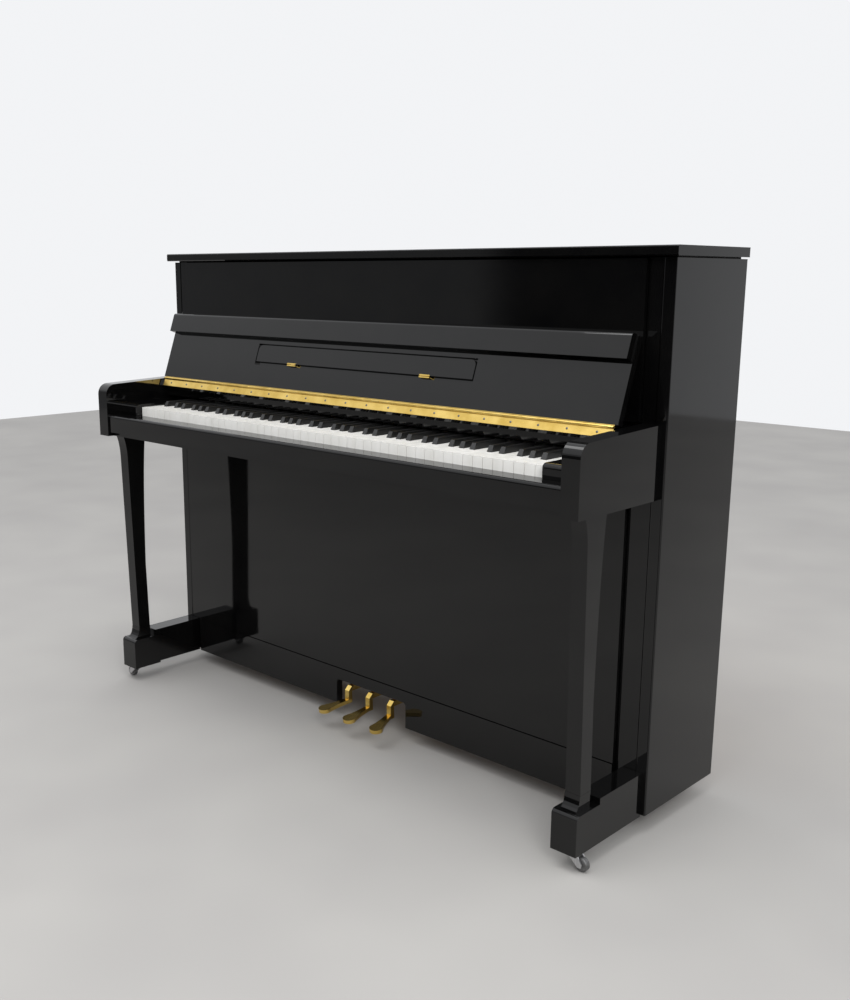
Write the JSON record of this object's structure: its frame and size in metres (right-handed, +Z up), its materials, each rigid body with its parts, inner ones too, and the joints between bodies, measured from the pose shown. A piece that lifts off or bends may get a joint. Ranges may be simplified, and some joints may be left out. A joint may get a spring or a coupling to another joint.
{
  "type": "upright piano",
  "caption": "Polished black upright piano with an open fallboard, brass pedals, casters and a working keyboard.",
  "frame": {"origin": "on the floor under the middle of the case", "axes": "+X to the treble end, +Y to the wall behind the piano, +Z up"},
  "size_m": [1.48, 0.516, 1.106],
  "materials": {
    "black_lacquer": "polished polyester over wood",
    "structural_wood": "bare beech, planed",
    "spruce": "clear varnish",
    "hinge_brass": "polished",
    "pedal_brass": "polished",
    "plate_iron": "bronze-coloured lacquer",
    "wheel_iron": "machined tread",
    "action_metal": "plain",
    "key_white": "polished",
    "key_black": "satin",
    "white_felt": "pressed wool felt",
    "black_felt": "wool felt"
  },
  "bodies": {
    "case": {"side_board_left": "black_lacquer", "stile_left": "black_lacquer", "arm_left": "black_lacquer", "leg_left": "black_lacquer", "toe_left": "black_lacquer", "key_block_left": "black_lacquer", "side_board_right": "black_lacquer", "stile_right": "black_lacquer", "arm_right": "black_lacquer", "leg_right": "black_lacquer", "toe_right": "black_lacquer", "key_block_right": "black_lacquer", "upper_panel": "black_lacquer", "lower_panel": "black_lacquer", "bottom_rail": "black_lacquer", "bottom_board": "structural_wood", "key_bed": "black_lacquer", "key_slip": "black_lacquer", "key_frame": "structural_wood", "hinge_rail": "black_lacquer", "hinge_lower_leaf": "hinge_brass", "action_frame": "action_metal", "iron_plate": "plate_iron", "strings": "action_metal", "pin_block": "structural_wood", "soundboard": "spruce", "back_frame": "structural_wood"},
    "lid": {"lid": "black_lacquer"},
    "fallboard": {"fallboard": "black_lacquer", "hinge_upper_leaf": "hinge_brass"},
    "fallboard_lip": {"fallboard_lip": "black_lacquer"},
    "music_shelf": {"music_shelf": "black_lacquer"},
    "key_c4": {"key_c4": "key_white"},
    "key_c_sharp4": {"key_c_sharp4": "key_black"},
    "key_d4": {"key_d4": "key_white"},
    "key_d_sharp4": {"key_d_sharp4": "key_black"},
    "key_e4": {"key_e4": "key_white"},
    "key_f4": {"key_f4": "key_white"},
    "key_f_sharp4": {"key_f_sharp4": "key_black"},
    "key_g4": {"key_g4": "key_white"},
    "key_g_sharp4": {"key_g_sharp4": "key_black"},
    "key_a4": {"key_a4": "key_white"},
    "key_a_sharp4": {"key_a_sharp4": "key_black"},
    "key_b4": {"key_b4": "key_white"},
    "naturals_bass": {"naturals_bass": "key_white"},
    "naturals_treble": {"naturals_treble": "key_white"},
    "sharps_bass": {"sharps_bass": "key_black"},
    "sharps_treble": {"sharps_treble": "key_black"},
    "pedal_left": {"pedal_left": "pedal_brass"},
    "pedal_middle": {"pedal_middle": "pedal_brass"},
    "pedal_right": {"pedal_right": "pedal_brass"},
    "hammers": {"hammers": "white_felt"},
    "dampers": {"dampers": "white_felt"},
    "muffler_rail": {"muffler_rail": "black_felt"},
    "caster_fork_left": {"caster_fork_left": "wheel_iron"},
    "caster_wheel_left": {"caster_wheel_left": "wheel_iron"},
    "rear_wheel_left": {"rear_wheel_left": "wheel_iron"},
    "caster_fork_right": {"caster_fork_right": "wheel_iron"},
    "caster_wheel_right": {"caster_wheel_right": "wheel_iron"},
    "rear_wheel_right": {"rear_wheel_right": "wheel_iron"}
  },
  "joints": [
    {"name": "lid_hinge", "type": "hinge", "parent": "case", "child": "lid", "pos_m": [0, 0.244, 1.088], "axis": [-1, 0, 0], "range_deg": [0, 100]},
    {"name": "fallboard_hinge", "type": "hinge", "parent": "case", "child": "fallboard", "pos_m": [0, -0.088, 0.794], "axis": [1, 0, 0], "range_deg": [0, 113]},
    {"name": "lip_hinge", "type": "hinge", "parent": "fallboard", "child": "fallboard_lip", "pos_m": [0, -0.03092, 0.95201], "axis": [-1, 0, 0], "range_deg": [0, 90]},
    {"name": "shelf_hinge", "type": "hinge", "parent": "fallboard", "child": "music_shelf", "pos_m": [0, -0.06533, 0.85387], "axis": [1, 0, 0], "range_deg": [0, 90]},
    {"name": "key_c4_rock", "type": "hinge", "parent": "case", "child": "key_c4", "pos_m": [0, -0.002, 0.708], "axis": [1, 0, 0], "range_deg": [0, 2.8], "stiffness_Nm_per_rad": 0.5, "springref_deg": -22.92},
    {"name": "key_c_sharp4_rock", "type": "hinge", "parent": "case", "child": "key_c_sharp4", "pos_m": [0, -0.002, 0.708], "axis": [1, 0, 0], "range_deg": [0, 2.8], "stiffness_Nm_per_rad": 0.4, "springref_deg": -22.92},
    {"name": "key_d4_rock", "type": "hinge", "parent": "case", "child": "key_d4", "pos_m": [0, -0.002, 0.708], "axis": [1, 0, 0], "range_deg": [0, 2.8], "stiffness_Nm_per_rad": 0.5, "springref_deg": -22.92},
    {"name": "key_d_sharp4_rock", "type": "hinge", "parent": "case", "child": "key_d_sharp4", "pos_m": [0, -0.002, 0.708], "axis": [1, 0, 0], "range_deg": [0, 2.8], "stiffness_Nm_per_rad": 0.4, "springref_deg": -22.92},
    {"name": "key_e4_rock", "type": "hinge", "parent": "case", "child": "key_e4", "pos_m": [0, -0.002, 0.708], "axis": [1, 0, 0], "range_deg": [0, 2.8], "stiffness_Nm_per_rad": 0.5, "springref_deg": -22.92},
    {"name": "key_f4_rock", "type": "hinge", "parent": "case", "child": "key_f4", "pos_m": [0, -0.002, 0.708], "axis": [1, 0, 0], "range_deg": [0, 2.8], "stiffness_Nm_per_rad": 0.5, "springref_deg": -22.92},
    {"name": "key_f_sharp4_rock", "type": "hinge", "parent": "case", "child": "key_f_sharp4", "pos_m": [0, -0.002, 0.708], "axis": [1, 0, 0], "range_deg": [0, 2.8], "stiffness_Nm_per_rad": 0.4, "springref_deg": -22.92},
    {"name": "key_g4_rock", "type": "hinge", "parent": "case", "child": "key_g4", "pos_m": [0, -0.002, 0.708], "axis": [1, 0, 0], "range_deg": [0, 2.8], "stiffness_Nm_per_rad": 0.5, "springref_deg": -22.92},
    {"name": "key_g_sharp4_rock", "type": "hinge", "parent": "case", "child": "key_g_sharp4", "pos_m": [0, -0.002, 0.708], "axis": [1, 0, 0], "range_deg": [0, 2.8], "stiffness_Nm_per_rad": 0.4, "springref_deg": -22.92},
    {"name": "key_a4_rock", "type": "hinge", "parent": "case", "child": "key_a4", "pos_m": [0, -0.002, 0.708], "axis": [1, 0, 0], "range_deg": [0, 2.8], "stiffness_Nm_per_rad": 0.5, "springref_deg": -22.92},
    {"name": "key_a_sharp4_rock", "type": "hinge", "parent": "case", "child": "key_a_sharp4", "pos_m": [0, -0.002, 0.708], "axis": [1, 0, 0], "range_deg": [0, 2.8], "stiffness_Nm_per_rad": 0.4, "springref_deg": -22.92},
    {"name": "key_b4_rock", "type": "hinge", "parent": "case", "child": "key_b4", "pos_m": [0, -0.002, 0.708], "axis": [1, 0, 0], "range_deg": [0, 2.8], "stiffness_Nm_per_rad": 0.5, "springref_deg": -22.92},
    {"name": "naturals_bass_rock", "type": "hinge", "parent": "case", "child": "naturals_bass", "pos_m": [0, -0.002, 0.708], "axis": [1, 0, 0], "range_deg": [0, 2.8], "stiffness_Nm_per_rad": 11.5, "springref_deg": -22.92},
    {"name": "naturals_treble_rock", "type": "hinge", "parent": "case", "child": "naturals_treble", "pos_m": [0, -0.002, 0.708], "axis": [1, 0, 0], "range_deg": [0, 2.8], "stiffness_Nm_per_rad": 11, "springref_deg": -22.92},
    {"name": "sharps_bass_rock", "type": "hinge", "parent": "case", "child": "sharps_bass", "pos_m": [0, -0.002, 0.708], "axis": [1, 0, 0], "range_deg": [0, 2.8], "stiffness_Nm_per_rad": 6.4, "springref_deg": -22.92},
    {"name": "sharps_treble_rock", "type": "hinge", "parent": "case", "child": "sharps_treble", "pos_m": [0, -0.002, 0.708], "axis": [1, 0, 0], "range_deg": [0, 2.8], "stiffness_Nm_per_rad": 6, "springref_deg": -22.92},
    {"name": "pedal_left_rock", "type": "hinge", "parent": "case", "child": "pedal_left", "pos_m": [0, 0.126, 0.088], "axis": [1, 0, 0], "range_deg": [0, 4], "stiffness_Nm_per_rad": 60, "springref_deg": -8.59},
    {"name": "pedal_middle_rock", "type": "hinge", "parent": "case", "child": "pedal_middle", "pos_m": [0, 0.126, 0.088], "axis": [1, 0, 0], "range_deg": [0, 4], "stiffness_Nm_per_rad": 60, "springref_deg": -8.59},
    {"name": "pedal_right_rock", "type": "hinge", "parent": "case", "child": "pedal_right", "pos_m": [0, 0.126, 0.088], "axis": [1, 0, 0], "range_deg": [0, 4], "stiffness_Nm_per_rad": 60, "springref_deg": -8.59},
    {"name": "hammer_rest_tilt", "type": "hinge", "parent": "case", "child": "hammers", "pos_m": [0, 0.052, 0.866], "axis": [-1, 0, 0], "range_deg": [0, 6]},
    {"name": "damper_lift", "type": "hinge", "parent": "case", "child": "dampers", "pos_m": [0, 0.115, 0.799], "axis": [1, 0, 0], "range_deg": [0, 6]},
    {"name": "muffler_drop", "type": "slide", "parent": "case", "child": "muffler_rail", "axis": [0, 0, -1], "range_m": [0, 0.035]},
    {"name": "caster_swivel_left", "type": "hinge", "parent": "case", "child": "caster_fork_left", "pos_m": [-0.697, -0.196, 0.036], "axis": [0, 0, 1], "continuous": true},
    {"name": "caster_roll_left", "type": "hinge", "parent": "caster_fork_left", "child": "caster_wheel_left", "pos_m": [-0.717, -0.196, 0.014], "axis": [0, 1, 0], "continuous": true},
    {"name": "rear_roll_left", "type": "hinge", "parent": "case", "child": "rear_wheel_left", "pos_m": [-0.5, 0.224, 0.033], "axis": [1, 0, 0], "continuous": true},
    {"name": "caster_swivel_right", "type": "hinge", "parent": "case", "child": "caster_fork_right", "pos_m": [0.697, -0.196, 0.036], "axis": [0, 0, 1], "continuous": true},
    {"name": "caster_roll_right", "type": "hinge", "parent": "caster_fork_right", "child": "caster_wheel_right", "pos_m": [0.717, -0.196, 0.014], "axis": [0, 1, 0], "continuous": true},
    {"name": "rear_roll_right", "type": "hinge", "parent": "case", "child": "rear_wheel_right", "pos_m": [0.5, 0.224, 0.033], "axis": [1, 0, 0], "continuous": true}
  ],
  "couplings": [
    {"joint": "hammer_rest_tilt", "follows": "pedal_left_rock", "ratio": 1.5},
    {"joint": "muffler_drop", "follows": "pedal_middle_rock", "m_per_rad": 0.5},
    {"joint": "damper_lift", "follows": "pedal_right_rock", "ratio": 1.5}
  ]
}
